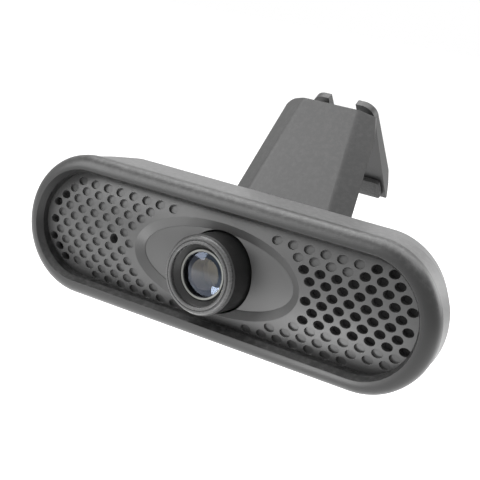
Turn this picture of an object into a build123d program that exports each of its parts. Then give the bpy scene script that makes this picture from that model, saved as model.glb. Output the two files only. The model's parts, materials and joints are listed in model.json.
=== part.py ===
"""Clip-on monitor webcam: a pill-shaped camera body with a focusing lens, on a two-part folding clip.

Units are millimetres. While the pieces are built, X runs along the body, Y goes from the front of the
camera to its back, Z is up, and the lens axis is the Y axis with Y = 0 at the crown of the domed grille.
At the end every piece is moved so that the origin is the middle of the grip face of the leg's pad.
"""
from build123d import *
import os
from math import asin, cos, degrees, hypot, radians, sin, sqrt

# ---------------------------------------------------------------- body
body_length = 104.8          # outside length of the pill
body_height = 32.4           # outside height, and the diameter of its round ends
body_rise = 1.1              # middle of the pill above the lens axis
parting_y = 2.6              # joint between the bezel and the rear shell
back_y = 17.0                # flat back face of the rear shell
wall = 1.7                   # moulded wall of the rear shell
shell_step = 0.35            # how far the rear shell stands inside the bezel's outline
shell_back_fillet = 2.0
end_sweep = 4.4              # how far each end of the shell leans in by the back face
end_bow = 1.1                # how far that leaning end bulges past a straight line

# ---------------------------------------------------------------- bezel
ridge_y = -1.3               # front-most line of the bezel
ridge_inset = 3.2            # from the outline to that line
rim_width = 4.1              # from the outline to the grille window
rim_inner_y = 0.3            # where the dished rim meets the window wall
rim_outer_fillet = 3.1
panel_gap = 0.15             # between the bezel and the panel that sits in it

# ---------------------------------------------------------------- grille panel
dome_radius_tall = 34.0      # curvature from bottom to top
dome_radius_long = 620.0     # curvature from end to end
panel_skin = 1.6
panel_lip = 1.2              # how far the panel reaches behind the rim
flange_width = 1.5
flange_depth = 4.9           # back of the flat edge of the panel
col_pitch = 3.82             # hole to hole along a row
row_pitch = 2.07             # row to row
rows = 11
lattice_rise = 0.3           # middle row above the lens axis
hole_length = 2.5
hole_height = 1.9
pocket_depth = 0.6
grille_margin = 0.95         # least distance from a hole's centre to the window's edge
dish_half_length = 21.3      # oval dish round the lens, where it meets the grille
dish_half_height = 10.1
dish_rise = 0.8              # its middle above the lens axis
dish_depth = 1.3
dish_band = 2.0              # width of the sloping band round the dish
dish_band_drop = 1.2         # how much of the depth that band takes
dish_keep = 1.25             # plain strip left round the dish
dish_backing = 0.4           # the thicker skin behind the dish stops this far inside its edge
mic_x = -27.5
mic_hole_radius = 1.15
open_right = (20.0, -4.5, 6.5)      # right-hand holes that go through: least X, least and greatest height
open_corner = (34.0, 6.5)           # and those in its top corner: least X, least height
open_left = (2.0, 9.4, 7.0)         # left-hand ones: past the end's centre, from it, greatest height
felt_thickness = 0.5

# ---------------------------------------------------------------- lens
barrel_radius = 8.7
barrel_front_y = -4.9
barrel_back_y = 3.4
ring_radius = 8.4
ring_front_y = -6.0
ring_mouth_radius = 6.7
barrel_clearance = 0.4
cell_radius = 6.0            # M12 lens thread
thread_clearance = 0.05
cell_back_y = 7.9
glass_radius = 5.0
glass_front_y = -4.5
retainer_width = 0.45
holder_radius = 7.3
holder_front_y = 4.0
holder_tab_x = 10.0

# ---------------------------------------------------------------- electronics
board_length = 40.0
board_height = 22.0
board_thickness = 1.2
board_front_y = 10.6
sensor_side = 7.5
sensor_height = 1.2
filter_side = 8.4
filter_thickness = 0.55
board_screw_x = 17.0
board_screw_z = 8.0
mic_radius = 3.0
mic_length = 2.6
mic_boot_wall = 0.75
mic_seat_y = 2.8
gland_x = -23.5
gland_z = -5.0
gland_radius = 3.5
gland_bore = 1.75

# ---------------------------------------------------------------- screws
case_screw_x = 29.0
case_screw_z = 10.0
case_post_radius = 2.6
case_post_split_y = 9.0      # where the panel's posts meet the shell's
case_head_sink = 3.0         # depth of the head below the back face
screw_radius = 1.0
screw_pilot = 0.8
screw_head_radius = 1.8
screw_head_height = 1.2
small_screw_radius = 0.7
small_screw_pilot = 0.55
small_head_radius = 1.4
small_head_height = 0.9
hole_clearance = 0.15

# ---------------------------------------------------------------- tilt hinge
tilt_back = 4.5              # pivot behind the back face
tilt_drop = 6.3              # pivot below the lens axis
tilt_boss = 3.4
tilt_pin_radius = 1.5
pin_clearance = 0.05
knuckle_half = 5.0
washer_gap = 0.4
washer_play = 0.02
ear_thickness = 3.0

# ---------------------------------------------------------------- clip leg
leg_lean = 28.7              # backward lean of the leg from the body's vertical
leg_front = 4.37             # front face in front of the tilt pivot
leg_bottom = 5.7             # along the leg, from the tilt pivot
knuckle_setback = 0.4        # the knuckle's arm starts this far behind the leg's front face
leg_top = 47.2
leg_wall = 1.8
leg_depth = 2.5              # front face to the back edge of the flanks
leg_half_bottom = 17.7
leg_half_top = 12.4
leg_flat_bottom = 13.2       # half width of the flat middle
leg_flat_top = 7.5
leg_corner = 3.0
leg_crease = 2.5
leg_pad_bottom = 9.0
leg_pad_top = 24.0
leg_pad_half = 8.5
leg_pad_proud = 0.4
corner_cut = 1.3             # the right-hand top corner is cut off this wide, to get the jaw's pin in
corner_cut_height = 6.2      # and this far down from the top

# ---------------------------------------------------------------- clip jaw
jaw_lean = 38.0              # forward lean of the jaw from the body's vertical
jaw_pivot_below_top = 4.5    # along the leg
jaw_pivot_behind = 7.98      # behind the leg's front face
jaw_inner = 5.65             # pivot to the jaw's inner face
jaw_top = 6.3
jaw_bottom = 22.9
jaw_half = 8.5
jaw_top_thickness = 1.7
jaw_deep_thickness = 3.2
jaw_deep_at = 16.0           # below the pivot
jaw_lip_thickness = 0.6
notch_half = 3.7
notch_depth = 4.2
ear_round = 3.2
lug_inner = 3.1              # inner face of the leg's lugs
lug_thickness = 2.0
lug_gap = 0.2
jaw_boss = 2.4
jaw_tube_radius = 1.7        # tube round the pin's right-hand end
jaw_tube_end = 8.3
jaw_pin_radius = 1.0
jaw_pad_height = 5.2
jaw_pad_half = 7.5
jaw_pad_thickness = 1.4
jaw_pad_edge = 0.5

# ---------------------------------------------------------------- worked out from the above
half_length = body_length / 2
half_height = body_height / 2
end_centre = half_length - half_height
window_height = half_height - rim_width
tilt_y = back_y + tilt_back
tilt_z = -tilt_drop
ear_inner = knuckle_half + washer_gap
ear_outer = ear_inner + ear_thickness
jaw_pivot_up = leg_top - jaw_pivot_below_top
jaw_pivot_back = jaw_pivot_behind - leg_front
lug_outer = lug_inner + lug_thickness
flange_inner = lug_outer + lug_gap
leg_pad_face = leg_depth + leg_pad_proud - leg_front
pad_middle = (leg_pad_bottom + leg_pad_top) / 2
holder_cavity_y = cell_back_y + 0.7


# ---------------------------------------------------------------- helpers
def slab(sketch, y0, y1):
    """Extrude a sketch drawn in X and Z from y0 back to y1."""
    return Pos(0, y1, 0) * (Plane.XZ * extrude(sketch, y1 - y0))


def rod(radius, y0, y1, x=0.0, z=0.0):
    """A round bar along Y."""
    return slab(Pos(x, z) * Circle(radius), y0, y1)


def axle(radius, x0, x1, y=0.0, z=0.0):
    """A round bar along X."""
    return Pos((x0 + x1) / 2, y, z) * (Rot(0, 90, 0) * Cylinder(radius, x1 - x0))


def block(x0, x1, y0, y1, z0, z1):
    """A box between two opposite corners."""
    return Pos((x0 + x1) / 2, (y0 + y1) / 2, (z0 + z1) / 2) * Box(x1 - x0, y1 - y0, z1 - z0)


def turned(points):
    """Turn a profile of (radius, y) points about the lens axis."""
    return revolve(make_face(Polyline(*points, close=True)), Axis.Y)


def pill(inset):
    """The body's outline, moved in by an inset."""
    return Pos(0, body_rise) * SlotOverall(body_length - 2 * inset, body_height - 2 * inset)


def case_places():
    """Where the four case screws are."""
    return [(x, z + body_rise) for x, z in four(case_screw_x, case_screw_z)]


def merge(pieces):
    """Join pieces into one solid."""
    joined = pieces[0]
    for piece in pieces[1:]:
        joined = joined + piece
    return joined


def to_leg(piece):
    """Place a piece drawn about the tilt pivot, Z along the leg and Y behind it."""
    return Pos(0, tilt_y, tilt_z) * (Rot(-leg_lean, 0, 0) * piece)


def to_jaw(piece):
    """Place a piece drawn about the jaw's pivot, Z along the jaw and Y behind it."""
    lean = radians(leg_lean)
    y = tilt_y + jaw_pivot_back * cos(lean) + jaw_pivot_up * sin(lean)
    z = tilt_z - jaw_pivot_back * sin(lean) + jaw_pivot_up * cos(lean)
    return Pos(0, y, z) * (Rot(jaw_lean, 0, 0) * piece)


def screw(radius, length, head_radius, head_height):
    """A cross-head screw along Y: shank from 0 to -length, head from 0 to +head_height."""
    shank = rod(radius, -length, 0)
    head = rod(head_radius, 0, head_height)
    slot = head_radius * 1.1
    blade = head_radius * 0.28
    depth = head_height * 0.6
    cross = block(-slot / 2, slot / 2, head_height - depth, head_height + 1, -blade / 2, blade / 2)
    cross += block(-blade / 2, blade / 2, head_height - depth, head_height + 1, -slot / 2, slot / 2)
    return shank + head - cross


def four(x, z):
    """The four places (+-x, +-z)."""
    return [(sx * x, sz * z) for sx in (-1, 1) for sz in (-1, 1)]


# ---------------------------------------------------------------- bezel and grille
def dome(depth):
    """All that lies behind the domed front surface moved back by a depth."""
    reach = half_height + 1.5
    radius = dome_radius_tall - depth
    edge_y = dome_radius_tall - sqrt(radius ** 2 - reach ** 2)
    far = back_y
    front = ThreePointArc((edge_y, -reach), (depth, 0), (edge_y, reach))
    sides = Polyline((edge_y, reach), (far, reach), (far, -reach), (edge_y, -reach))
    section = Plane.YZ * make_face(front + sides)
    hub = Axis((0, dome_radius_long, 0), (0, 0, 1))
    half_turn = degrees(asin((half_length + 3) / (dome_radius_long - far)))
    return Pos(0, 0, body_rise) * revolve(section, hub, 2 * half_turn).rotate(hub, -half_turn)


def make_bezel():
    """Front frame: a rounded ridge, and a rim dished in to the window."""
    frame = slab(pill(0), ridge_y, parting_y)
    frame = fillet(frame.faces().sort_by(Axis.Y)[0].edges(), rim_outer_fillet)
    dish = loft([Pos(0, rim_inner_y, 0) * (Plane.XZ * pill(rim_width)),
                 Pos(0, ridge_y - 0.01, 0) * (Plane.XZ * pill(ridge_inset))], ruled=True)
    window = slab(pill(rim_width), ridge_y, parting_y)
    seat = slab(pill(rim_width - panel_lip - panel_gap), ridge_y, parting_y) & dome(-panel_gap)
    return frame - dish - window - seat


def hole_places():
    """Centres of the grille's holes, with True where a hole goes through."""
    places = []
    middle = (rows - 1) / 2
    reach = int(half_length / col_pitch) + 1
    keep_x = dish_half_length + dish_keep
    keep_z = dish_half_height + dish_keep
    for row in range(rows):
        z = lattice_rise + (middle - row) * row_pitch
        shift = 0.5 if row % 2 == 0 else 0.0
        for column in range(-reach, reach + 1):
            x = (column + shift) * col_pitch
            past_end = max(abs(x) - end_centre, 0.0)
            inside = hypot(past_end, z - body_rise) <= window_height - grille_margin
            clear = (x / keep_x) ** 2 + ((z - dish_rise) / keep_z) ** 2 >= 1
            at_mic = hypot(x - mic_x, z - lattice_rise) < col_pitch / 2
            if inside and clear and not at_mic:
                places.append((x, z, goes_through(x, z)))
    return places


def goes_through(x, z):
    """Whether the hole here is a real opening or only a pocket."""
    up = z - lattice_rise
    right = x > open_right[0] and open_right[1] < up < open_right[2]
    corner = x > open_corner[0] and up >= open_corner[1]
    left = x < -end_centre - open_left[0] and hypot(x + end_centre, up) > open_left[1] and up < open_left[2]
    return right or corner or left


def dish_oval(inset):
    """The dish's outline, moved in by an inset."""
    return Pos(0, dish_rise) * Ellipse(dish_half_length - inset, dish_half_height - inset)


def press_dish(panel):
    """Press an oval dish with a sloping edge in to the front of the domed panel."""
    floor = slab(dish_oval(dish_band), ridge_y, flange_depth + 2)
    panel = panel - (floor - dome(dish_depth))
    half_x = dish_half_length - dish_band
    half_z = dish_half_height - dish_band
    rims = [edge for edge in panel.edges() if is_on_oval(edge, half_x, half_z)]
    rim = min(rims, key=lambda edge: edge.position_at(0.3).Y)
    front = max([face for face in panel.faces() if rim in face.edges()], key=lambda face: face.area)
    return chamfer(rim, dish_band, dish_band_drop, reference=front)


def is_on_oval(edge, half_x, half_z):
    """Whether an edge runs round the dish's floor."""
    points = [edge.position_at(part) for part in (0.1, 0.4, 0.8)]
    off = [abs((p.X / half_x) ** 2 + ((p.Z - dish_rise) / half_z) ** 2 - 1) for p in points]
    return edge.length > half_x and max(off) < 0.01


def make_grille():
    """Domed panel with pockets and holes, an oval dish round the lens, and posts behind."""
    behind = flange_depth + 2
    outline = pill(rim_width - panel_lip)
    edge = slab(outline, ridge_y, flange_depth) - slab(pill(rim_width - panel_lip + flange_width),
                                                       ridge_y, flange_depth)
    panel = ((dome(0) - dome(panel_skin)) & slab(outline, ridge_y, behind)) + (edge & dome(0))
    backing = dome(panel_skin - 0.1) - dome(panel_skin + dish_depth)
    panel = panel + (slab(dish_oval(dish_backing), 0, behind) & backing)
    panel = panel + (rod(mic_seat_radius() + 1.0, 1.2, mic_seat_y + 3.4, mic_x, lattice_rise) & dome(0.5))
    panel = panel - rod(mic_seat_radius(), mic_seat_y, mic_seat_y + 4, mic_x, lattice_rise)
    for x, z in case_places():
        post = rod(case_post_radius, 0, case_post_split_y, x, z) & dome(pocket_depth + 0.3)
        panel = panel + post - rod(screw_pilot, 3.6, case_post_split_y, x, z)
    panel = press_dish(panel)
    floor = dome(pocket_depth)
    hole = Ellipse(hole_length / 2, hole_height / 2)
    cuts = []
    for x, z, through in hole_places():
        drill = slab(Pos(x, z) * hole, ridge_y, flange_depth + 1)
        cuts.append(drill if through else drill - floor)
    cuts.append(rod(mic_hole_radius, ridge_y, mic_seat_y + 0.1, mic_x, lattice_rise))
    cuts.append(rod(barrel_radius + barrel_clearance, ridge_y, back_y))
    return panel - cuts


def make_felt(x0, x1):
    """Black cloth on the back of the panel, behind the holes that go through."""
    sheet = dome(panel_skin) - dome(panel_skin + felt_thickness)
    area = pill(rim_width - panel_lip + flange_width + 0.3)
    sheet = sheet & slab(area, 0, back_y) & block(x0, x1, 0, back_y, -body_height, body_height)
    cuts = [rod(case_post_radius + 0.3, 0, back_y, x, z) for x, z in case_places()]
    return sheet - cuts - slab(dish_oval(dish_backing - 0.3), 0, back_y)


def mic_seat_radius():
    """Radius of the round seat for the microphone's boot."""
    return mic_radius + mic_boot_wall + 0.03


# ---------------------------------------------------------------- rear shell
def cup_shape(inset):
    """The body behind the parting line: each end leans in, and bulges a little on its way to the back."""
    sections = []
    for share, bow in ((0.0, 0.0), (0.5, end_bow), (1.0, 0.0)):
        y = parting_y + share * (back_y - parting_y)
        shorter = 2 * (inset + end_sweep * share - bow)
        outline = Pos(0, body_rise) * SlotOverall(body_length - shorter, body_height - 2 * inset)
        sections.append(Pos(0, y, 0) * (Plane.XZ * outline))
    return loft(sections, ruled=True)


def make_shell():
    """Rear cup of the body, with screw posts, board posts, hinge ears and the cable hole."""
    cup = cup_shape(shell_step)
    cup = fillet(cup.faces().sort_by(Axis.Y)[-1].edges(), shell_back_fillet)
    cup = cup - (cup_shape(shell_step + wall) & slab(pill(0), parting_y, back_y - wall))
    for x, z in case_places():
        cup = cup + rod(case_post_radius, case_post_split_y, back_y - wall / 2, x, z)
    for x, z in four(board_screw_x, board_screw_z):
        post = rod(2.2, board_front_y + board_thickness, back_y - wall / 2, x, z)
        cup = cup + post - rod(small_screw_pilot, board_front_y + board_thickness, back_y - wall, x, z)
    for side in (-1, 1):
        ear = block(ear_inner, ear_outer, back_y - wall / 2, tilt_y, tilt_z - tilt_boss, tilt_z + tilt_boss)
        ear = ear + axle(tilt_boss, ear_inner, ear_outer, tilt_y, tilt_z)
        cup = cup + (ear if side > 0 else mirror(ear, Plane.YZ))
    cuts = [axle(tilt_pin_radius, -ear_outer - 1, ear_outer + 1, tilt_y, tilt_z)]
    cuts.append(slab(pill(rim_width - panel_lip - panel_gap), 0, flange_depth + panel_gap))
    for x, z in case_places():
        cuts.append(rod(screw_radius + hole_clearance, case_post_split_y - 1, back_y + 1, x, z))
        cuts.append(rod(screw_head_radius + hole_clearance, back_y - case_head_sink - screw_head_height,
                        back_y + 1, x, z))
    cuts.append(rod(gland_radius - 0.9, back_y - wall - 1, back_y + 1, gland_x, gland_z))
    return cup - cuts


def make_gland():
    """Rubber cable inlet gripped in the shell's back wall: a groove, two flanges and a bore."""
    neck = rod(gland_radius - 0.9, back_y - wall, back_y, gland_x, gland_z)
    outer = rod(gland_radius, back_y, back_y + 1.6, gland_x, gland_z)
    inner = rod(gland_radius, back_y - wall - 1.4, back_y - wall, gland_x, gland_z)
    outer = fillet(outer.faces().sort_by(Axis.Y)[-1].edges(), 0.6)
    return merge([neck, outer, inner]) - rod(gland_bore, 0, back_y + 5, gland_x, gland_z)


# ---------------------------------------------------------------- lens, all turned pieces
def make_barrel():
    """Black focusing barrel, with the tapered mouth that leads in to the glass."""
    bore = cell_radius
    return turned([(bore, barrel_back_y), (barrel_radius, barrel_back_y), (barrel_radius, barrel_front_y + 0.3),
                   (barrel_radius - 0.3, barrel_front_y), (ring_mouth_radius, barrel_front_y),
                   (glass_radius + retainer_width + 0.1, glass_front_y + 0.9), (bore, glass_front_y + 0.9)])


def make_front_ring():
    """Grey trim ring: an outer band, a fine groove and a raised inner band."""
    front = ring_front_y
    back = barrel_front_y
    return turned([(ring_mouth_radius, back), (ring_radius, back), (ring_radius, front + 0.75),
                   (ring_radius - 0.35, front + 0.3), (ring_radius - 0.75, front + 0.25),
                   (ring_radius - 0.8, front + 0.45), (ring_radius - 0.95, front + 0.45),
                   (ring_radius - 1.0, front + 0.12), (ring_radius - 1.15, front),
                   (ring_mouth_radius + 0.2, front), (ring_mouth_radius, front + 0.2)])


def make_cell():
    """Threaded lens cell that carries the glass."""
    front = glass_front_y + 0.9
    seat = 1.4
    return turned([(cell_radius, front), (cell_radius, cell_back_y), (3.6, cell_back_y), (3.6, 4.6),
                   (glass_radius, 4.6), (glass_radius, front + seat), (glass_radius, front)])


def make_front_glass():
    """Front element: domed outside, flat inside."""
    edge = glass_front_y + 0.9
    back = edge + 1.6
    outer = ThreePointArc((0, glass_front_y), (glass_radius * 0.55, glass_front_y + 0.27), (glass_radius, edge))
    sides = Polyline((glass_radius, edge), (glass_radius, back), (0, back), (0, glass_front_y))
    return revolve(make_face(outer + sides), Axis.Y)


def make_retainer():
    """Thin bright ring that holds the front element."""
    edge = glass_front_y + 0.9
    inner = glass_radius - 0.12
    outer = glass_radius + retainer_width
    return turned([(inner, edge - 0.12), (inner + 0.1, edge - 0.3), (outer - 0.05, edge - 0.3),
                   (outer, edge - 0.1), (outer, edge), (glass_radius, edge)])


def make_spacer():
    """Blackened ring between the two elements."""
    front = glass_front_y + 2.5
    return turned([(3.2, front), (glass_radius - 0.02, front), (glass_radius - 0.02, 2.0), (3.2, 2.0)])


def make_rear_glass():
    """Rear element."""
    bulge = ThreePointArc((0, 4.6), (2.4, 4.35), (glass_radius - 0.02, 3.6))
    sides = Polyline((glass_radius - 0.02, 3.6), (glass_radius - 0.02, 2.0), (0, 2.0), (0, 4.6))
    return revolve(make_face(bulge + sides), Axis.Y)


def make_holder():
    """Lens holder on the board: threaded tube, sensor chamber and two screw tabs."""
    body = rod(holder_radius, holder_front_y, board_front_y)
    body = body + block(-7.6, 7.6, holder_cavity_y - 0.9, board_front_y, -7.6, 7.6)
    for side in (-1, 1):
        body = body + block(side * holder_tab_x - 3, side * holder_tab_x + 3, board_front_y - 2,
                            board_front_y, -2.5, 2.5)
        body = body - rod(small_screw_pilot, board_front_y - 1.6, board_front_y, side * holder_tab_x)
    body = body - rod(cell_radius + thread_clearance, holder_front_y, cell_back_y + 0.1)
    body = body - rod(3.4, holder_front_y, board_front_y)
    half = filter_side / 2 + 0.05
    return body - block(-half, half, holder_cavity_y, board_front_y, -half, half)


# ---------------------------------------------------------------- electronics
def make_board():
    """Main circuit board with its screw holes."""
    plate = slab(RectangleRounded(board_length, board_height, 1.5), board_front_y, board_front_y + board_thickness)
    for x, z in four(board_screw_x, board_screw_z):
        plate = plate - rod(small_screw_radius + hole_clearance, 0, back_y, x, z)
    for side in (-1, 1):
        plate = plate - rod(small_screw_radius + hole_clearance, 0, back_y, side * holder_tab_x)
    return plate


def make_chip(x, z, width, height, thick):
    """A package on the back of the board."""
    y = board_front_y + board_thickness
    return chamfer(block(x - width / 2, x + width / 2, y, y + thick, z - height / 2, z + height / 2)
                   .faces().sort_by(Axis.Y)[-1].edges(), 0.15)


def make_header():
    """Four-way socket for the cable's wires, open to the left."""
    y = board_front_y + board_thickness
    body = block(-19.5, -13.5, y, y + 3.2, -5.0, 5.0)
    return body - block(-20, -15, y + 0.6, y + 2.6, -4.2, 4.2)


def make_capsule():
    """Microphone capsule."""
    return rod(mic_radius, mic_seat_y + 0.8, mic_seat_y + 0.8 + mic_length, mic_x, lattice_rise)


def make_boot():
    """Rubber boot that seals the microphone to its hole."""
    outer = mic_radius + mic_boot_wall
    boot = rod(outer, mic_seat_y, mic_seat_y + 0.8 + mic_length, mic_x, lattice_rise)
    boot = boot - rod(mic_radius, mic_seat_y + 0.8, mic_seat_y + 5, mic_x, lattice_rise)
    return boot - rod(0.8, mic_seat_y - 1, mic_seat_y + 2, mic_x, lattice_rise)


# ---------------------------------------------------------------- screws
def make_case_screws():
    """Four screws from the back of the shell into the panel's posts."""
    seat = back_y - case_head_sink - screw_head_height
    one = screw(screw_radius, seat - case_post_split_y + 3.5, screw_head_radius, screw_head_height)
    one = one - (rod(screw_radius + 1, -seat, case_post_split_y - seat) - rod(screw_pilot, -seat, 0))
    return Compound([Pos(x, seat, z) * one for x, z in case_places()])


def make_board_screws():
    """Four screws from the front of the board into the shell's posts."""
    one = Rot(180, 0, 0) * screw(small_screw_pilot, 4.5, small_head_radius, small_head_height)
    return Compound([Pos(x, board_front_y, z) * one for x, z in four(board_screw_x, board_screw_z)])


def make_holder_screws():
    """Two screws from the back of the board into the lens holder."""
    one = screw(small_screw_pilot, board_thickness + 1.4, small_head_radius, small_head_height)
    y = board_front_y + board_thickness
    return Compound([Pos(side * holder_tab_x, y, 0) * one for side in (-1, 1)])


# ---------------------------------------------------------------- tilt hinge
def make_tilt_screw():
    """Hinge screw through both ears and the leg's knuckle."""
    shank = axle(tilt_pin_radius, -ear_outer - 2.2, ear_outer, tilt_y, tilt_z)
    head = axle(2.8, ear_outer, ear_outer + 1.6, tilt_y, tilt_z)
    head = head - block(ear_outer + 0.9, ear_outer + 2, tilt_y - 2.2, tilt_y + 2.2, tilt_z - 0.4, tilt_z + 0.4)
    return shank + head


def make_tilt_nut():
    """Nut on the other end of the hinge screw."""
    hexagon = Pos(-ear_outer - 1.0, tilt_y, tilt_z) * (Rot(0, 90, 0) * extrude(RegularPolygon(3.1, 6), 1, both=True))
    return hexagon - axle(tilt_pin_radius, -ear_outer - 4, 0, tilt_y, tilt_z)


def make_washers():
    """Two friction washers between the knuckle and the ears."""
    pair = []
    for side in (-1, 1):
        ends = sorted((side * knuckle_half, side * (ear_inner - washer_play)))
        ring = axle(tilt_boss - 0.2, ends[0], ends[1], tilt_y, tilt_z)
        pair.append(ring - axle(tilt_pin_radius + pin_clearance, ends[0] - 1, ends[1] + 1, tilt_y, tilt_z))
    return Compound(pair)


# ---------------------------------------------------------------- clip
def leg_section(up, half, flat):
    """Channel-shaped section of the leg at a height along it."""
    front = -leg_front
    inner = front + leg_wall
    rear = front + leg_depth
    run = 1.35 * leg_wall
    edge = 0.4 * leg_wall
    points = [(-half, rear), (-flat, front), (flat, front), (half, rear), (half - run, rear),
              (flat - edge, inner), (-flat + edge, inner), (-half + run, rear)]
    return Pos(0, 0, up) * make_face(Polyline(*points, close=True))


def make_leg():
    """Front leg of the clip: a tapered channel with the tilt knuckle below and two lugs above."""
    over = 1.0
    grow = (leg_half_bottom - leg_half_top) / (leg_top - leg_bottom)
    grow_flat = (leg_flat_bottom - leg_flat_top) / (leg_top - leg_bottom)
    body = loft([leg_section(leg_bottom - over, leg_half_bottom + grow * over, leg_flat_bottom + grow_flat * over),
                 leg_section(leg_top + over, leg_half_top - grow * over, leg_flat_top - grow_flat * over)],
                ruled=True)
    creases = [edge for edge in body.edges()
               if abs(edge.tangent_at(0.5).Z) > 0.5 and abs(edge.center().Y + leg_front) < 0.01]
    body = fillet(creases, leg_crease)
    side = 0.2
    tip = leg_half_top + side
    foot = leg_half_bottom + side
    cut_up = leg_top - corner_cut_height
    trim = make_face(Polyline((-foot, leg_bottom), (foot, leg_bottom), (tip + grow * corner_cut_height, cut_up),
                              (tip - corner_cut, leg_top), (-tip, leg_top), close=True))
    trim = fillet([v for v in trim.vertices() if v.X < 0 or v.Y < cut_up - 1], leg_corner)
    body = body & slab(trim, -leg_front - 1, leg_depth)
    arm = block(-knuckle_half, knuckle_half, knuckle_setback - leg_front, tilt_boss, 0, leg_bottom + 3)
    arm = arm - block(-20, 20, -leg_front + leg_wall + 1.2, 20, leg_bottom - 0.6, 20)
    body = body + arm + axle(tilt_boss, -knuckle_half, knuckle_half)
    for sign in (-1, 1):
        inner, outer = sorted((sign * lug_inner, sign * lug_outer))
        lug = block(inner, outer, -leg_front + leg_wall - 0.4, jaw_pivot_back, jaw_pivot_up - jaw_boss,
                    jaw_pivot_up + jaw_boss)
        body = body + lug + axle(jaw_boss, inner, outer, jaw_pivot_back, jaw_pivot_up)
    body = body - axle(tilt_pin_radius + pin_clearance, -20, 20)
    return to_leg(body - axle(jaw_pin_radius, -20, 20, jaw_pivot_back, jaw_pivot_up))


def make_leg_pad():
    """Soft pad on the leg that rests on the front of the screen."""
    pad = block(-leg_pad_half, leg_pad_half, -leg_front + leg_wall, leg_pad_face, leg_pad_bottom, leg_pad_top)
    return to_leg(fillet(pad.edges().filter_by(Axis.Y), 1.0))


def make_jaw_pin():
    """Pin of the jaw's hinge."""
    left = -flange_inner - lug_thickness - 0.3
    return to_leg(axle(jaw_pin_radius, left, jaw_tube_end + 0.3, jaw_pivot_back, jaw_pivot_up))


def make_jaw():
    """Rear jaw: a wedge-backed plate with two rounded ears and two hinge flanges."""
    inner = jaw_inner
    points = [(inner, jaw_top), (inner + jaw_top_thickness, jaw_top), (inner + jaw_deep_thickness, -jaw_deep_at),
              (inner + jaw_deep_thickness * 0.7, -jaw_deep_at - 3.5), (inner + jaw_lip_thickness, -jaw_bottom),
              (inner, -jaw_bottom)]
    plate = extrude(Plane.YZ * make_face(Polyline(*points, close=True)), jaw_half, both=True)
    plate = plate - block(-notch_half, notch_half, 0, 20, jaw_top - notch_depth, jaw_top + 1)
    tops = plate.edges().filter_by(Axis.Y).sort_by(Axis.Z)[-4:]
    plate = fillet(tops.sort_by(Axis.X)[0:1] + tops.sort_by(Axis.X)[-1:], ear_round)
    for sign in (-1, 1):
        near, far = sorted((sign * flange_inner, sign * (flange_inner + lug_thickness)))
        plate = plate + block(near, far, 0, inner + 0.5, -jaw_boss, jaw_boss) + axle(jaw_boss, near, far)
    plate = plate + axle(jaw_tube_radius, flange_inner, jaw_tube_end)
    return to_jaw(plate - axle(jaw_pin_radius + pin_clearance, -20, 20))


def make_jaw_pad():
    """Soft pad inside the tip of the jaw."""
    pad = block(-jaw_pad_half, jaw_pad_half, jaw_inner - jaw_pad_thickness, jaw_inner,
                -jaw_bottom + jaw_pad_edge, -jaw_bottom + jaw_pad_edge + jaw_pad_height)
    return to_jaw(fillet(pad.edges().filter_by(Axis.Y), 0.8))


# ---------------------------------------------------------------- every piece, moved to the grip face
def grip_point():
    """Middle of the leg pad's grip face."""
    lean = radians(leg_lean)
    y = tilt_y + leg_pad_face * cos(lean) + pad_middle * sin(lean)
    z = tilt_z - leg_pad_face * sin(lean) + pad_middle * cos(lean)
    return y, z


def make_all():
    """Every node by name."""
    board_back = board_front_y + board_thickness
    sensor_y = board_front_y - sensor_height
    window = filter_side / 2
    return {
        "front_bezel": make_bezel(),
        "grille_panel": make_grille(),
        "grille_felt_right": make_felt(open_right[0] - 1.5, half_length),
        "grille_felt_left": make_felt(-half_length, -end_centre - 0.5),
        "rear_shell": make_shell(),
        "cable_gland": make_gland(),
        "main_board": make_board(),
        "lens_holder": make_holder(),
        "image_sensor": block(-sensor_side / 2, sensor_side / 2, sensor_y, board_front_y,
                              -sensor_side / 2, sensor_side / 2),
        "infrared_filter": block(-window, window, holder_cavity_y, holder_cavity_y + filter_thickness,
                                 -window, window),
        "video_chip": make_chip(2.0, 1.0, 7.0, 7.0, 0.9),
        "memory_chip": make_chip(-6.5, 6.5, 5.0, 4.0, 0.8),
        "clock_crystal": make_chip(9.0, -7.2, 5.0, 3.2, 1.1),
        "cable_header": make_header(),
        "mic_capsule": make_capsule(),
        "mic_boot": make_boot(),
        "case_screws": make_case_screws(),
        "board_screws": make_board_screws(),
        "holder_screws": make_holder_screws(),
        "tilt_screw": make_tilt_screw(),
        "tilt_nut": make_tilt_nut(),
        "focus_barrel": make_barrel(),
        "front_ring": make_front_ring(),
        "lens_cell": make_cell(),
        "front_glass": make_front_glass(),
        "glass_retainer": make_retainer(),
        "lens_spacer": make_spacer(),
        "rear_glass": make_rear_glass(),
        "clip_leg": make_leg(),
        "leg_pad": make_leg_pad(),
        "tilt_washers": make_washers(),
        "jaw_pin": make_jaw_pin(),
        "clip_jaw": make_jaw(),
        "jaw_pad": make_jaw_pad(),
    }


os.makedirs("parts", exist_ok=True)
grip_y, grip_z = grip_point()
for name, piece in make_all().items():
    export_step(Pos(0, -grip_y, -grip_z) * piece, f"parts/{name}.step")
print("grip face at", round(grip_y, 3), round(grip_z, 3))
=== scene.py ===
# %% [markdown]
# # A clip-on webcam
# The camera is a long pill: a grey frame round a domed grille, a focusing lens in an oval dish, a rear shell,
# and a two-part clip that hooks over the top of a screen. Its exact shapes come from a measured
# model. Here each of those shapes gets the finish of the real moulding, and the soft, turned and fine pieces
# are modelled again with rounded edges and the small details that a plain solid leaves out.

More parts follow.
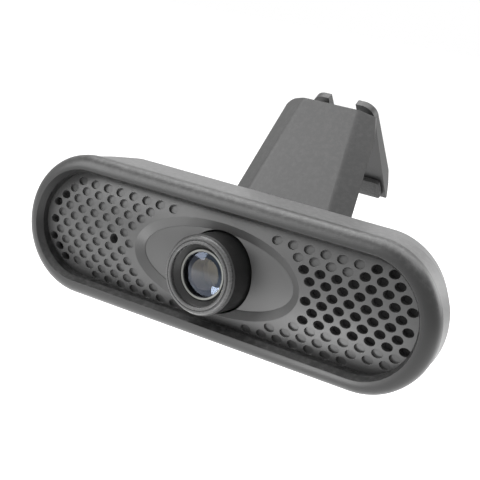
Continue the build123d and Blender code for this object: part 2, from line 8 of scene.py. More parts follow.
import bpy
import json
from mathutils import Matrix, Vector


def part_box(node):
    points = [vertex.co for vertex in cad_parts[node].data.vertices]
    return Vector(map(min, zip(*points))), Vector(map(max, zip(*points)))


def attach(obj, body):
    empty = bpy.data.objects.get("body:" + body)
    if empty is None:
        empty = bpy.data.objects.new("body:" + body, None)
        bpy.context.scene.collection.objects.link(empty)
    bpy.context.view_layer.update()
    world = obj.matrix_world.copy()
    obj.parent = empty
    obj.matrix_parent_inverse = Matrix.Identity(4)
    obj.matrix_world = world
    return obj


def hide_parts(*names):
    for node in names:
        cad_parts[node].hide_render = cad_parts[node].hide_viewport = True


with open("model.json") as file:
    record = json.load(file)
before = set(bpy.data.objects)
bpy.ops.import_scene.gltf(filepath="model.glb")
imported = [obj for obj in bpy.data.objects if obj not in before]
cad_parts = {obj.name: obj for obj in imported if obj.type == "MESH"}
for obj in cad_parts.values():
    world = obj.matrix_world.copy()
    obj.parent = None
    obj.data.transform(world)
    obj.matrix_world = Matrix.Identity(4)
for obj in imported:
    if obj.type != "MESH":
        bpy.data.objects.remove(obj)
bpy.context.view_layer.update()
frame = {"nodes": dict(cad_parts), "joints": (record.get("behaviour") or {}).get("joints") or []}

# %% Tools of the trade
import json
from math import cos, pi, radians, sin

import bpy
from mathutils import Matrix, Vector

MM = 0.001
joint = {j["name"]: j for j in frame["joints"]}
lens_centre = Vector(joint["lens_focus"]["pos_m"])
print("lens axis passes", [round(v / MM, 2) for v in lens_centre])

# %% [markdown]
# ## Camera, floor and light
# The webcam is looked at from its right and a little above, with the camera leaning to one side, through a
# fairly long lens. The lens and distance could be guessed by eye, but small errors there bend every straight
# edge, so they were worked out together from the body's known length and height. The camera aims at a point
# beside the lens. Depth of field stays off.

# %% Camera
looking_from = radians(30.0)
looking_down = radians(11.957)
camera_lean = radians(10.271)
camera_distance = 249.136 * MM
aim = lens_centre + Vector((5.388, 0.0, 8.739)) * MM
level_reach = cos(looking_down)
back = Vector((sin(looking_from) * level_reach, -cos(looking_from) * level_reach, sin(looking_down)))
level_right = Vector((cos(looking_from), sin(looking_from), 0.0))
level_up = back.cross(level_right)
camera_right = level_right * cos(camera_lean) + level_up * sin(camera_lean)
camera_up = level_up * cos(camera_lean) - level_right * sin(camera_lean)
bpy.ops.object.camera_add()
camera = bpy.context.object
camera.name = "studio_camera"
camera.data.lens = 88.61
camera.data.sensor_width = 36.0
camera.data.clip_start = 0.01
camera.data.clip_end = 20.0
camera.matrix_world = Matrix.Translation(aim + back * camera_distance) @ Matrix(
    (camera_right, camera_up, back)).transposed().to_4x4()
bpy.context.scene.camera = camera
print("camera at", [round(v / MM, 1) for v in camera.location])

# %% [markdown]
# The webcam hangs on a screen in use, so it is shown hanging over a pale sweep rather than lying on it. The
# floor is a wide flat disc well below the body, and the sky round it is just as pale, so no horizon shows.
# Its centre is inset once, so that it isn't a bare primitive, and its paper has a very faint mottle.

# %% Floor
floor_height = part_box("front_bezel")[0].z - 70 * MM
bpy.ops.object.select_all(action="DESELECT")
bpy.ops.mesh.primitive_circle_add(vertices=64, radius=6.0, fill_type="NGON", location=(0, 0, floor_height))
floor = bpy.context.object
floor.name = "pale_floor"
bpy.ops.object.mode_set(mode="EDIT")
bpy.ops.mesh.inset(thickness=5.0)
bpy.ops.object.mode_set(mode="OBJECT")
bpy.ops.object.transform_apply(location=True, rotation=True, scale=True)
print("floor lies", round(floor_height / MM, 1), "mm from the grip face's height")

# %% [markdown]
# A softbox is a glowing rectangle. Large ones close to the object give broad, soft highlights on satin
# plastic. One hangs overhead and does most of the work, and the key stands in front on the left. One behind
# draws a light line along the upper edges, and a very small one stands low in front, near the lens, to put a
# pale window-shaped reflection in its glass.

# %% Light
def softbox(name, direction, distance, width, height, power, towards):
    """A glowing rectangle that looks at a point from a direction."""
    bpy.ops.object.light_add(type="AREA")
    box = bpy.context.object
    box.name = name
    box.data.shape = "RECTANGLE"
    box.data.size = width
    box.data.size_y = height
    box.data.energy = power
    away = Vector(direction).normalized()
    box.location = towards + away * distance
    box.rotation_mode = "QUATERNION"
    box.rotation_quaternion = away.to_track_quat("Z", "Y")
    box.visible_camera = False
    return box


body_centre = Vector((0.0, lens_centre.y, lens_centre.z))
softbox("overhead_softbox", (-0.05, 0.30, 1.0), 0.50, 0.70, 0.45, 4.6, body_centre)
softbox("key_softbox", (-0.72, -0.70, 0.55), 0.55, 0.30, 0.40, 2.4, body_centre)
softbox("rear_softbox", (0.55, 0.85, 0.35), 0.60, 0.40, 0.30, 1.6, body_centre)
softbox("window_softbox", (0.02, -0.74, -0.60), 0.080, 0.020, 0.034, 0.030, lens_centre)
world = bpy.data.worlds.new("pale_studio")
bpy.context.scene.world = world
world.use_nodes = True
world.node_tree.nodes["Background"].inputs["Color"].default_value = (1.0, 1.0, 1.0, 1.0)
world.node_tree.nodes["Background"].inputs["Strength"].default_value = 1.0
bpy.context.scene.view_settings.view_transform = "Standard"

# %% [markdown]
# ## Writing materials as sums
# A material is a small sum of patterns: a base colour, plus a little cloudiness, plus lighter edges. Wiring
# that by hand is slow to read, so one small class wraps a node's output and turns +, - and * into Math nodes.
# Every other kind of node comes from its one method, node(), which takes the type, the settings and then what
# goes in to each socket.

# %% A wire that can be added and multiplied
class Wire:
    """One output of a shader node."""

    def __init__(self, tree, socket=None):
        self.tree = tree
        self.socket = socket

    def node(self, kind, settings, sockets, output=0):
        """Add a node: its type, its settings, then what its sockets hold, and give one of its outputs."""
        made = self.tree.nodes.new("ShaderNode" + kind)
        for name, value in settings.items():
            if name == "stops":
                for number, (place, shade) in enumerate(value):
                    stops = made.color_ramp.elements
                    stop = stops[number] if number < 2 else stops.new(place)
                    stop.position = place
                    stop.color = tuple(shade) + (1.0,)
            else:
                setattr(made, name, value)
        for name, value in sockets.items():
            if isinstance(value, Wire):
                self.tree.links.new(value.socket, made.inputs[name])
            else:
                made.inputs[name].default_value = value
        return Wire(self.tree, made.outputs[output])

    def sum(self, operation, first, second):
        return self.node("Math", {"operation": operation}, {0: first, 1: second})

    def __add__(self, other):
        return self.sum("ADD", self, other)

    def __radd__(self, other):
        return self.sum("ADD", other, self)

    def __sub__(self, other):
        return self.sum("SUBTRACT", self, other)

    def __rsub__(self, other):
        return self.sum("SUBTRACT", other, self)

    def __mul__(self, other):
        return self.sum("MULTIPLY", self, other)

    def __rmul__(self, other):
        return self.sum("MULTIPLY", other, self)

    def __pow__(self, other):
        return self.sum("POWER", self, other)

    def clipped(self, low, high):
        """0 below low, 1 above high, and even between them."""
        return self.node("MapRange", {"clamp": True}, {"Value": self, "From Min": low, "From Max": high})


def grey(sight, warm=0.0):
    """A colour from how light it looks, from 0 to 255, a touch warmer or cooler than neutral."""
    linear = ((sight / 255 + 0.055) / 1.055) ** 2.4
    return (linear * (1 + warm), linear, linear * (1 - warm), 1.0)


def tint(red, green, blue):
    """A colour from the three shares it looks to have, each from 0 to 255."""
    return tuple(grey(share)[1] for share in (red, green, blue)) + (1.0,)


def new_material(name):
    """An empty material: its wire box and its Principled surface."""
    material = bpy.data.materials.new(name)
    material.use_nodes = True
    tree = material.node_tree
    return material, Wire(tree), tree.nodes["Principled BSDF"]


def connect(surface, socket, value):
    """Put a wire or a plain value in to a socket of the surface."""
    if isinstance(value, Wire):
        value.tree.links.new(value.socket, surface.inputs[socket])
    else:
        surface.inputs[socket].default_value = value


print("wires ready")

# %% [markdown]
# ## Parts that all the finishes share
# Every pattern reads Object coordinates, which are metres from the grip face, so a noise of scale 1000 has
# grains about a millimetre across. Worn edges come from the Bevel node: it gives the direction that the
# surface would have with rounded edges, and where that differs from the true direction there is an edge.

# %% Shared patterns
def noise(wire, scale, detail=2.0, roughness=0.5, stretch=None):
    """Soft random pattern, from 0 to 1. A stretch makes it streaky."""
    place = wire.node("TexCoord", {}, {}, "Object")
    if stretch:
        place = wire.node("Mapping", {}, {"Vector": place, "Scale": stretch})
    sockets = {"Vector": place, "Scale": scale, "Detail": detail, "Roughness": roughness}
    return wire.node("TexNoise", {}, sockets)


def cells(wire, scale, feature="F1", output="Distance"):
    """Pattern of cells."""
    place = wire.node("TexCoord", {}, {}, "Object")
    return wire.node("TexVoronoi", {"feature": feature}, {"Vector": place, "Scale": scale}, output)


def rounded(wire, width):
    """The surface's direction with its edges rounded off."""
    return wire.node("Bevel", {"samples": 6}, {"Radius": width})


def edges(wire, width, gain=4.0):
    """1 along edges and 0 on the flats."""
    plain = wire.node("NewGeometry", {}, {}, "Normal")
    same = wire.node("VectorMath", {"operation": "DOT_PRODUCT"}, {0: rounded(wire, width), 1: plain}, "Value")
    return ((1.0 - same) * gain).clipped(0.0, 1.0)


def facing_up(wire):
    """1 where the surface looks at the ceiling."""
    direction = wire.node("NewGeometry", {}, {}, "Normal")
    return wire.node("SeparateXYZ", {}, {0: direction}, "Z").clipped(0.2, 1.0)


def blend(wire, share, first, second):
    """Mix two colours by a share from 0 to 1."""
    return wire.node("Mix", {"data_type": "RGBA"}, {0: share, 6: first, 7: second}, 2)


def bumped(wire, height, depth, strength=1.0, under=None):
    """The surface's direction after a relief of some depth in metres."""
    sockets = {"Height": height, "Distance": depth, "Strength": strength}
    if under:
        sockets["Normal"] = under
    return wire.node("Bump", {}, sockets)


print("patterns ready")

# %% [markdown]
# ## Moulded plastic
# The frame, the grille, the shell and the clip are all moulded from dyed plastic, in steel moulds whose
# walls were etched to a fine satin. The etching is a relief of a few hundredths of a millimetre with grains
# of a fifth of a millimetre. The dye is not quite even, handling polishes the edges and dust settles on what
# faces up. One function makes them all, and each moulding has its own shade and sheen. The jaw gets a darker
# colour than the leg, though both are one plastic: that is painted shade, as it hangs in the leg's shade.

# %% Moulded plastics
def moulded(name, shade, roughness, grain=2600.0, relief=9e-6, edge_light=0.22, dust=0.10, warm=0.0):
    """Satin moulded plastic with etched grain, uneven dye, polished edges and a little dust."""
    material, wire, surface = new_material(name)
    dye = noise(wire, 75.0, 3.0)
    etching = noise(wire, grain, 3.0, 0.65)
    coarse = noise(wire, grain * 0.3, 2.0)
    worn = edges(wire, 0.25 * MM) * noise(wire, 420.0, 3.0).clipped(0.3, 0.7)
    fluff = facing_up(wire) * noise(wire, 900.0, 4.0, 0.7).clipped(0.45, 0.8)
    colour = blend(wire, dye, grey(shade * 0.965, warm), grey(shade * 1.035, warm))
    colour = blend(wire, worn * edge_light, colour, grey(min(shade * 1.5 + 20, 230), warm))
    colour = blend(wire, fluff * dust, colour, grey(190, 0.01))
    connect(surface, "Base Color", colour)
    connect(surface, "Roughness", roughness + (dye - 0.5) * 0.10 + (etching - 0.5) * 0.12 - worn * 0.12)
    relief_wire = bumped(wire, etching * 0.75 + coarse * 0.25, relief, 1.0, rounded(wire, 0.12 * MM))
    connect(surface, "Normal", relief_wire)
    connect(surface, "Specular IOR Level", 0.45)
    return material


finish = {
    "bezel_plastic": moulded("frame_satin", 26, 0.40, edge_light=0.16),
    "grille_plastic": moulded("grille_satin", 60, 0.40, grain=3200.0, edge_light=0.10),
    "shell_plastic": moulded("shell_satin", 70, 0.42, edge_light=0.12),
    "clip_plastic": moulded("clip_satin", 52, 0.44, edge_light=0.18),
    # painted shade: the jaw is the leg's plastic, made darker because it hangs in the leg's shade
    "jaw_plastic_painted_shade": moulded("jaw_satin", 26, 0.44, edge_light=0.18),
    "barrel_plastic": moulded("barrel_black", 20, 0.38, edge_light=0.20, dust=0.03),
    "ring_plastic": moulded("ring_grey", 60, 0.28, grain=1800.0, relief=3e-6, edge_light=0.20, dust=0.02),
    "cell_plastic": moulded("cell_black", 22, 0.55, edge_light=0.05, dust=0.0),
    "holder_plastic": moulded("holder_black", 30, 0.50),
    "header_plastic": moulded("header_ivory", 205, 0.45, warm=0.06),
    "washer_nylon": moulded("washer_nylon", 214, 0.40, warm=0.03),
}
print("moulded finishes:", len(finish))

# %% [markdown]
# ## Rubber, foam and cloth
# The cable inlet and the microphone's boot are rubber: dull, with a chalky bloom and a faint pebble. The pads
# on the clip are closed-cell foam, which shows its cut cells as tiny pits. The black cloth behind the open
# holes is painted shade, a dark sheet where the holes only hold shade. It is woven: two fine sets of waves, one
# across and one up, cross over each other.

# %% Soft finishes
def rubber(name, shade):
    """Dull rubber with a chalky bloom."""
    material, wire, surface = new_material(name)
    bloom = noise(wire, 160.0, 4.0, 0.6)
    pebble = noise(wire, 3000.0, 2.0)
    colour = blend(wire, bloom.clipped(0.35, 0.75), grey(shade), grey(shade * 1.35))
    connect(surface, "Base Color", colour)
    connect(surface, "Roughness", 0.72 + (bloom - 0.5) * 0.2)
    connect(surface, "Normal", bumped(wire, pebble, 1.2e-5))
    return material


def cut_foam(name, shade):
    """Closed-cell foam: small pits with thin walls between them."""
    material, wire, surface = new_material(name)
    pit = cells(wire, 2300.0).clipped(0.0, 0.75)
    patch = noise(wire, 140.0, 3.0)
    colour = blend(wire, pit, grey(shade * 0.6), grey(shade * 1.15))
    colour = blend(wire, patch * 0.25, colour, grey(shade * 1.3))
    connect(surface, "Base Color", colour)
    connect(surface, "Roughness", 0.80 + (patch - 0.5) * 0.15)
    connect(surface, "Normal", bumped(wire, pit, 6e-5, 0.6))
    connect(surface, "Sheen Weight", 0.15)
    return material


def woven_shade_cloth(name, shade):
    """Plain-woven black cloth, a dark sheet that paints shade behind the open holes."""
    material, wire, surface = new_material(name)
    place = wire.node("TexCoord", {}, {}, "Object")
    waves = {"Vector": place, "Scale": 900.0, "Distortion": 0.6}
    across = wire.node("TexWave", {"bands_direction": "X"}, waves)
    upward = wire.node("TexWave", {"bands_direction": "Z"}, waves)
    weave = across * 0.5 + upward * 0.5
    fibre = noise(wire, 5200.0, 3.0)
    thread = weave * 0.7 + fibre * 0.3
    connect(surface, "Base Color", blend(wire, thread, grey(shade * 0.4), grey(shade * 1.5)))
    connect(surface, "Roughness", 0.85 + (fibre - 0.5) * 0.1)
    connect(surface, "Normal", bumped(wire, weave + fibre * 0.3, 4e-5, 0.7))
    connect(surface, "Sheen Weight", 0.3)
    return material


finish["soft_rubber"] = rubber("inlet_rubber", 34)
finish["pad_foam"] = cut_foam("pad_foam", 40)
# painted shade: black cloth behind the open holes, where the holes only hold shade
finish["black_felt"] = woven_shade_cloth("grille_cloth", 26)
print("soft finishes ready")

# %% [markdown]
# ## Metal
# The screws are plated steel with fine turning marks, the hinge hardware is duller and the ring that holds
# the front glass is bright. Metal has no colour of its own beneath the shine, so its marks live mostly in its
# roughness and in a shallow relief.

# %% Metals
def metal(name, colour, roughness, streak=(1.0, 1.0, 1.0), depth=3e-6):
    """Plated metal with fine marks along one way."""
    material, wire, surface = new_material(name)
    marks = noise(wire, 2400.0, 4.0, 0.7, stretch=streak)
    tarnish = noise(wire, 260.0, 3.0)
    darker = tuple(share * 0.72 for share in colour[:3]) + (1.0,)
    connect(surface, "Base Color", blend(wire, tarnish.clipped(0.35, 0.7), darker, colour))
    connect(surface, "Metallic", 1.0)
    connect(surface, "Roughness", roughness + (marks - 0.5) * 0.18 + tarnish * 0.08)
    connect(surface, "Normal", bumped(wire, marks, depth))
    return material


finish["screw_steel"] = metal("screw_plating", tint(188, 190, 194), 0.26, (1.0, 6.0, 1.0))
finish["hinge_steel"] = metal("hinge_plating", tint(170, 171, 174), 0.34, (0.15, 1.0, 1.0))
finish["retainer_metal"] = metal("retainer_bright", tint(120, 121, 118), 0.30, (1.0, 6.0, 1.0))
finish["crystal_metal"] = metal("crystal_can", tint(196, 194, 186), 0.30)
finish["capsule_metal"] = metal("capsule_can", tint(176, 178, 182), 0.32)
print("metals ready")

# %% [markdown]
# ## Glass
# The front element is clear glass with an anti-reflection coating. The coating is a film a fraction of a
# micrometre thick, and a thicker one would turn the lens green or violet at a slant. The Principled surface can
# hold such a film. A few specks of dust lie on the glass, as rough spots.

# %% Glass
def coated_glass(name, film, colour, specks=0.6):
    """Clear lens glass with a thin coloured coating and a few specks of dust."""
    material, wire, surface = new_material(name)
    speck = (1.0 - cells(wire, 700.0)).clipped(0.90, 0.97) * noise(wire, 320.0).clipped(0.52, 0.6) * specks
    haze = noise(wire, 240.0, 3.0)
    connect(surface, "Base Color", blend(wire, speck, colour, grey(235)))
    connect(surface, "Roughness", 0.015 + haze * 0.03 + speck * 0.5)
    connect(surface, "Normal", bumped(wire, haze, 1e-6, 0.3))
    connect(surface, "Transmission Weight", 1.0)
    connect(surface, "IOR", 1.62)
    connect(surface, "Thin Film Thickness", film)
    connect(surface, "Thin Film IOR", 1.52)
    return material


finish["lens_glass"] = coated_glass("coated_glass", 118.0, (0.80, 0.78, 0.66, 1.0))
finish["filter_glass"] = coated_glass("filter_glass", 620.0, (0.45, 0.70, 0.78, 1.0), 0.2)
print("glass ready")

# %% [markdown]
# ## Circuit board and packages
# The board is green laminate whose glass weave just shows through the lacquer, with copper beneath in a few
# broad areas. Chips are moulded black resin, matt and slightly sparkling, and the sensor is a white ceramic
# carrier.

# %% Board finishes
def laminate(name):
    """Green lacquered board over glass weave and copper."""
    material, wire, surface = new_material(name)
    place = wire.node("TexCoord", {}, {}, "Object")
    waves = {"Vector": place, "Scale": 420.0, "Distortion": 0.3}
    across = wire.node("TexWave", {"bands_direction": "X"}, waves)
    upward = wire.node("TexWave", {"bands_direction": "Z"}, waves)
    weave = across * upward
    copper = cells(wire, 260.0, "F1", "Color")
    tracks = wire.node("SeparateXYZ", {}, {0: copper}, "X").clipped(0.45, 0.5)
    colour = blend(wire, weave * 0.35, tint(24, 74, 44), tint(40, 98, 60))
    colour = blend(wire, tracks * 0.55, colour, tint(52, 118, 66))
    connect(surface, "Base Color", colour)
    connect(surface, "Roughness", 0.34 + weave * 0.12)
    connect(surface, "Normal", bumped(wire, weave * 0.5 + tracks, 1.5e-5))
    connect(surface, "Coat Weight", 0.4)
    return material


def package(name, colour, sparkle):
    """Moulded resin or ceramic with a fine sparkle."""
    material, wire, surface = new_material(name)
    glint = noise(wire, 4200.0, 2.0)
    cloud = noise(wire, 300.0, 3.0)
    lighter = tuple(min(share * 1.6 + 0.02, 1.0) for share in colour[:3]) + (1.0,)
    connect(surface, "Base Color", blend(wire, glint.clipped(0.55, 0.75) * sparkle, colour, lighter))
    connect(surface, "Roughness", 0.55 + (cloud - 0.5) * 0.2)
    connect(surface, "Normal", bumped(wire, glint, 8e-6, 1.0, rounded(wire, 0.06 * MM)))
    return material


finish["board_laminate"] = laminate("board_laminate")
finish["chip_resin"] = package("chip_resin", grey(34), 0.5)
finish["sensor_ceramic"] = package("sensor_ceramic", grey(200, 0.02), 0.15)
print("finishes:", len(finish))

# %% [markdown]
# ## Dressing the measured mouldings
# The measured pieces keep their shape and only take a finish. Each one has a material slot already, and the
# new material goes in to that slot.

# %% Finish for each measured piece
worn_by = {
    "bezel_plastic": ["front_bezel"],
    "grille_plastic": ["grille_panel"],
    "shell_plastic": ["rear_shell"],
    "clip_plastic": ["clip_leg"],
    "jaw_plastic_painted_shade": ["clip_jaw"],
    "black_felt": ["grille_felt_right", "grille_felt_left"],
    "barrel_plastic": ["focus_barrel"],
    "ring_plastic": ["front_ring"],
    "cell_plastic": ["lens_cell", "lens_spacer"],
    "lens_glass": ["front_glass", "rear_glass"],
    "retainer_metal": ["glass_retainer"],
    "holder_plastic": ["lens_holder"],
    "board_laminate": ["main_board"],
    "chip_resin": ["video_chip", "memory_chip"],
    "sensor_ceramic": ["image_sensor"],
    "filter_glass": ["infrared_filter"],
    "crystal_metal": ["clock_crystal"],
    "header_plastic": ["cable_header"],
    "capsule_metal": ["mic_capsule"],
    "soft_rubber": ["cable_gland", "mic_boot"],
    "pad_foam": ["leg_pad", "jaw_pad"],
    "screw_steel": ["case_screws", "board_screws", "holder_screws"],
    "hinge_steel": ["tilt_screw", "tilt_nut", "jaw_pin"],
    "washer_nylon": ["tilt_washers"],
}


def dress(piece, material):
    """Put a material in to a piece's only slot."""
    if piece.data.materials:
        piece.data.materials[0] = material
    else:
        piece.data.materials.append(material)


for finish_name, nodes in worn_by.items():
    for node in nodes:
        dress(frame["nodes"][node], finish[finish_name])
print("dressed", sum(len(nodes) for nodes in worn_by.values()), "measured pieces")

# %% [markdown]
# ## Modelling tools
# An operator works on everything that is selected, and the measured pieces are selected after loading, so each
# new piece starts with nothing selected. A finished piece keeps its place in its mesh, then it is told which
# body it rides on and which measured node it stands for.

# %% Start and settle a piece
def begin():
    """Leave edit mode with nothing selected."""
    if bpy.context.object and bpy.context.object.mode != "OBJECT":
        bpy.ops.object.mode_set(mode="OBJECT")
    bpy.ops.object.select_all(action="DESELECT")


def take(piece):
    """Select one piece alone."""
    begin()
    piece.select_set(True)
    bpy.context.view_layer.objects.active = piece


def choose(piece, kind, wanted):
    """Go in to edit mode with only the vertices, edges or polygons selected that a test wants."""
    take(piece)
    bpy.context.tool_settings.mesh_select_mode = (kind == "vertices", kind == "edges", kind == "polygons")
    bpy.ops.object.mode_set(mode="EDIT")
    bpy.ops.mesh.select_all(action="DESELECT")
    bpy.ops.object.mode_set(mode="OBJECT")
    for part in getattr(piece.data, kind):
        part.select = wanted(part)
    bpy.ops.object.mode_set(mode="EDIT")


def soften(piece, width, segments=2, angle=30.0):
    """Round a piece's sharp edges a little."""
    take(piece)
    rounding = piece.modifiers.new("rounding", "BEVEL")
    rounding.width = width
    rounding.segments = segments
    rounding.limit_method = "ANGLE"
    rounding.angle_limit = radians(angle)
    bpy.ops.object.modifier_apply(modifier=rounding.name)


def settle(piece, material, slot_name, body, *nodes):
    """Put a piece's place in to its mesh, finish it and let it stand for measured nodes."""
    take(piece)
    bpy.ops.object.transform_apply(location=True, rotation=True, scale=True)
    bpy.ops.object.shade_smooth_by_angle(angle=radians(35))
    dress(piece, material)
    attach(piece, body)
    if nodes:
        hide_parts(*nodes)
    size = [round(side / MM, 1) for side in piece.dimensions]
    print(piece.name, "is", size, "mm and has", len(piece.data.polygons), "faces")
    return piece


def turned(name, outline, centre, steps=72):
    """Trace half a section by extruding one corner from point to point, then spin it round the Y axis."""
    begin()
    bpy.ops.mesh.primitive_plane_add(size=MM)
    piece = bpy.context.object
    piece.name = name
    bpy.ops.object.mode_set(mode="EDIT")
    bpy.ops.mesh.select_all(action="SELECT")
    bpy.ops.mesh.merge(type="CENTER")
    at = Vector((0.0, 0.0, 0.0))
    for number, (radius, along) in enumerate(outline):
        to = centre + Vector((radius, along, 0.0)) * MM
        if number == 0:
            bpy.ops.transform.translate(value=to - at)
        else:
            bpy.ops.mesh.extrude_vertices_move(TRANSFORM_OT_translate={"value": to - at})
        at = to
    bpy.ops.mesh.select_all(action="SELECT")
    bpy.ops.mesh.spin(steps=steps, angle=2 * pi, center=centre, axis=(0.0, 1.0, 0.0))
    bpy.ops.mesh.select_all(action="SELECT")
    bpy.ops.mesh.remove_doubles(threshold=1e-6)
    bpy.ops.mesh.normals_make_consistent(inside=False)
    bpy.ops.object.mode_set(mode="OBJECT")
    return piece


def middle(node):
    """The middle of a measured node's box."""
    low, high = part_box(node)
    return (low + high) / 2


print("modelling tools ready")

# %% [markdown]
# ## Front ring of the lens
# The ring is a turned trim: an outer band, a fine groove and a raised inner band with a bright rolled edge. It
# could stay as measured, but its edges there are perfectly sharp, and a sharp edge never catches the light. So
# its half section is traced again corner by corner, spun round the lens axis, and every corner is rolled over.

# %% Front ring
front = (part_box("front_ring")[0].y - lens_centre.y) / MM
ring_outline = [(6.7, front + 1.1), (8.4, front + 1.1), (8.4, front + 0.75), (8.05, front + 0.3),
                (7.65, front + 0.25), (7.6, front + 0.45), (7.45, front + 0.45), (7.4, front + 0.12),
                (7.25, front), (6.9, front), (6.7, front + 0.2), (6.7, front + 1.1)]
ring = turned("lens_front_ring", ring_outline, lens_centre, 96)
soften(ring, 0.06 * MM, 2, 18.0)
settle(ring, finish["ring_plastic"], "ring_plastic", "lens", "front_ring")

# %% [markdown]
# ## Rubber cable inlet and microphone boot
# Both are soft turned pieces. The inlet grips the back wall in a groove, and its outer flange has two shallow
# ribs to squeeze it in by. The boot is a cup with a rolled lip that seals against the grille. Each is traced
# and spun in the same way, about its own middle.

# %% Rubber inlet
inlet_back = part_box("cable_gland")[1].y
inlet_centre = Vector((middle("cable_gland").x, inlet_back, middle("cable_gland").z))
inlet_outline = [(1.75, -4.7), (1.75, -0.25), (2.0, 0.0), (2.75, 0.0), (3.15, -0.2), (3.45, -0.55),
                 (3.5, -0.75), (3.36, -0.9), (3.36, -1.05), (3.5, -1.2), (3.5, -1.55), (3.42, -1.6),
                 (2.6, -1.6), (2.6, -3.3), (3.4, -3.3), (3.5, -3.4), (3.5, -3.9), (3.0, -4.7), (1.75, -4.7)]
inlet = turned("rubber_inlet", inlet_outline, inlet_centre)
soften(inlet, 0.07 * MM, 2, 25.0)
settle(inlet, finish["soft_rubber"], "soft_rubber", "camera", "cable_gland")

# %% Microphone boot
boot_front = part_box("mic_boot")[0].y
boot_centre = Vector((middle("mic_boot").x, boot_front, middle("mic_boot").z))
boot_outline = [(0.8, 0.0), (1.3, 0.0), (1.45, 0.12), (1.7, 0.12), (1.85, 0.0), (3.55, 0.0), (3.75, 0.2),
                (3.75, 1.4), (3.66, 1.55), (3.66, 1.75), (3.75, 1.9), (3.75, 3.25), (3.6, 3.4), (3.0, 3.4),
                (3.0, 0.8), (0.8, 0.8), (0.8, 0.0)]
boot = turned("microphone_boot", boot_outline, boot_centre, 48)
soften(boot, 0.05 * MM, 2, 25.0)
settle(boot, finish["soft_rubber"], "soft_rubber", "camera", "mic_boot")

# %% [markdown]
# ## Foam pads
# The two pads that grip the screen are die-cut from foam sheet, so they have rounded corners and upright sides,
# and the foam's skin crowns the face a little. A cube is made as large as the measured pad and its upright
# corners are rounded with a wide bevel. Then the face is lowered and raised again in four narrow steps, each an
# inset, which leaves it crowned, and last the rim is softened. Each pad leans with its part of the clip, so the
# lean is read from the measured pad's largest flat side.

# %% Foam pads
def flat_side(node, towards):
    """The way that the largest flat side of a node faces, on the side asked for."""
    sums = {}
    for face in frame["nodes"][node].data.polygons:
        key = tuple(round(share, 2) for share in face.normal)
        sums[key] = sums.get(key, Vector()) + face.normal * face.area
    facing = [total for total in sums.values() if total.y * towards > 0]
    return max(facing, key=lambda total: total.length).normalized()


def foam_pad(name, node, towards, corner, body):
    """A die-cut foam pad in the space of a measured one."""
    grip = flat_side(node, towards)
    across = Vector((1.0, 0.0, 0.0))
    along = grip.cross(across)
    corners = [v.co for v in frame["nodes"][node].data.vertices]
    spans = []
    for axis in (across, along, grip):
        reach = [axis.dot(point) for point in corners]
        spans.append((min(reach), max(reach)))
    place = sum(((low + high) / 2 * axis for (low, high), axis in zip(spans, (across, along, grip))), Vector())
    begin()
    bpy.ops.mesh.primitive_cube_add(size=1.0)
    pad = bpy.context.object
    pad.name = name
    bpy.ops.object.mode_set(mode="EDIT")
    bpy.ops.transform.resize(value=[high - low for low, high in spans])
    bpy.ops.object.mode_set(mode="OBJECT")
    height = [point.co.z for point in pad.data.vertices]
    choose(pad, "edges", lambda edge: abs(height[edge.vertices[0]] - height[edge.vertices[1]]) > 0.1 * MM)
    bpy.ops.mesh.bevel(offset=corner, segments=6, affect="EDGES")
    bpy.ops.object.mode_set(mode="OBJECT")
    choose(pad, "polygons", lambda face: face.normal.z > 0.9)
    rim_drop = 0.12 * MM
    bpy.ops.transform.translate(value=(0.0, 0.0, -rim_drop))
    steps = 4
    for step in range(steps):
        bpy.ops.mesh.inset(thickness=0.22 * MM, depth=rim_drop / steps)
    bpy.ops.object.mode_set(mode="OBJECT")
    soften(pad, 0.10 * MM, 2, 40.0)
    pad.matrix_world = Matrix.Translation(place) @ Matrix((across, along, grip)).transposed().to_4x4()
    settle(pad, finish["pad_foam"], "soft_rubber", body, node)
    return pad


foam_pad("screen_pad", "leg_pad", 1.0, 1.0 * MM, "clip")
foam_pad("jaw_grip_pad", "jaw_pad", -1.0, 0.8 * MM, "jaw")
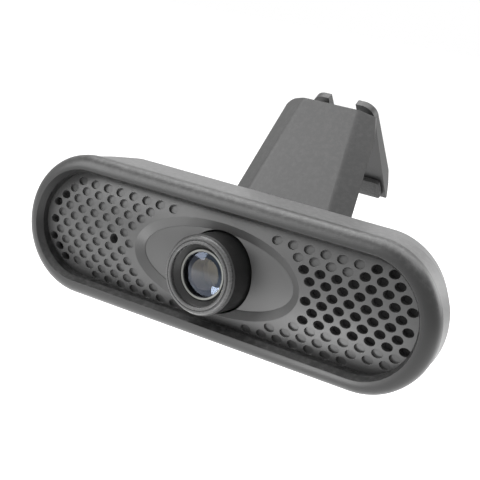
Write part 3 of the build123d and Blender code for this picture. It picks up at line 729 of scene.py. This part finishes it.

# %% [markdown]
# ## Black cloth as painted shade
# Behind the open holes a black cloth lies against the back of the grille. It is painted shade: a dark sheet put
# where the holes only hold shade. A piece of cloth is made as one: a fine flat grid is laid in front of the
# measured cloth and pushed on to it along the lens direction, what misses it is trimmed off, and the sheet then
# gets its thickness.

# %% Acoustic cloth
def cloth(name, node):
    """Dark cloth pressed against the back of the grille, painted shade behind the open holes."""
    low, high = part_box(node)
    width, height = high.x - low.x, high.z - low.z
    begin()
    square = 0.5 * MM
    bpy.ops.mesh.primitive_grid_add(x_subdivisions=int(width / square), y_subdivisions=int(height / square),
                                    size=1.0, rotation=(pi / 2, 0.0, 0.0))
    sheet = bpy.context.object
    sheet.name = name
    sheet.scale = (width, height, 1.0)
    sheet.location = ((low.x + high.x) / 2, low.y - 5 * MM, (low.z + high.z) / 2)
    take(sheet)
    bpy.ops.object.transform_apply(location=True, rotation=True, scale=True)
    drop = sheet.modifiers.new("drop", "SHRINKWRAP")
    drop.target = frame["nodes"][node]
    drop.wrap_method = "PROJECT"
    drop.use_project_y = True
    drop.use_positive_direction = True
    drop.use_negative_direction = True
    bpy.ops.object.modifier_apply(modifier=drop.name)
    choose(sheet, "vertices", lambda vertex: vertex.co.y < low.y - 1 * MM)
    bpy.ops.mesh.delete(type="VERT")
    bpy.ops.mesh.select_all(action="SELECT")
    bpy.ops.transform.translate(value=(0.0, 0.03 * MM, 0.0))
    bpy.ops.mesh.normals_make_consistent(inside=False)
    bpy.ops.object.mode_set(mode="OBJECT")
    flat_area = sum(face.area * abs(face.normal.y) for face in sheet.data.polygons)
    body = sheet.modifiers.new("body", "SOLIDIFY")
    body.thickness = 0.35 * MM
    body.offset = 1.0 if sum(face.normal.y for face in sheet.data.polygons) > 0 else -1.0
    bpy.ops.object.modifier_apply(modifier=body.name)
    settle(sheet, finish["black_felt"], "black_felt", "camera", node)
    print(name, "covers", round(flat_area / (width * height), 2), "of its box")
    return sheet


# painted shade: dark cloth sheets behind the open holes of the grille
cloth("cloth_right", "grille_felt_right")
cloth("cloth_left", "grille_felt_left")

# %% [markdown]
# ## Paper of the floor
# A studio sweep is matt paper. Its mottle is so faint that only a close look finds it, and it glows very
# slightly, as paper does that is lit from behind, so that it melts in to the pale surroundings.

# %% Floor finish
paper, wire, surface = new_material("floor_paper")
paper_colour = blend(wire, noise(wire, 6.0, 3.0), grey(243), grey(247))
connect(surface, "Base Color", paper_colour)
connect(surface, "Roughness", 0.8 + noise(wire, 3.0) * 0.1)
connect(surface, "Emission Color", paper_colour)
connect(surface, "Emission Strength", 0.18)
dress(floor, paper)
print("floor papered")

# %% [markdown]
# ## Last look
# The view layer is brought up to date.

# %% Bring the scene up to date
bpy.context.view_layer.update()
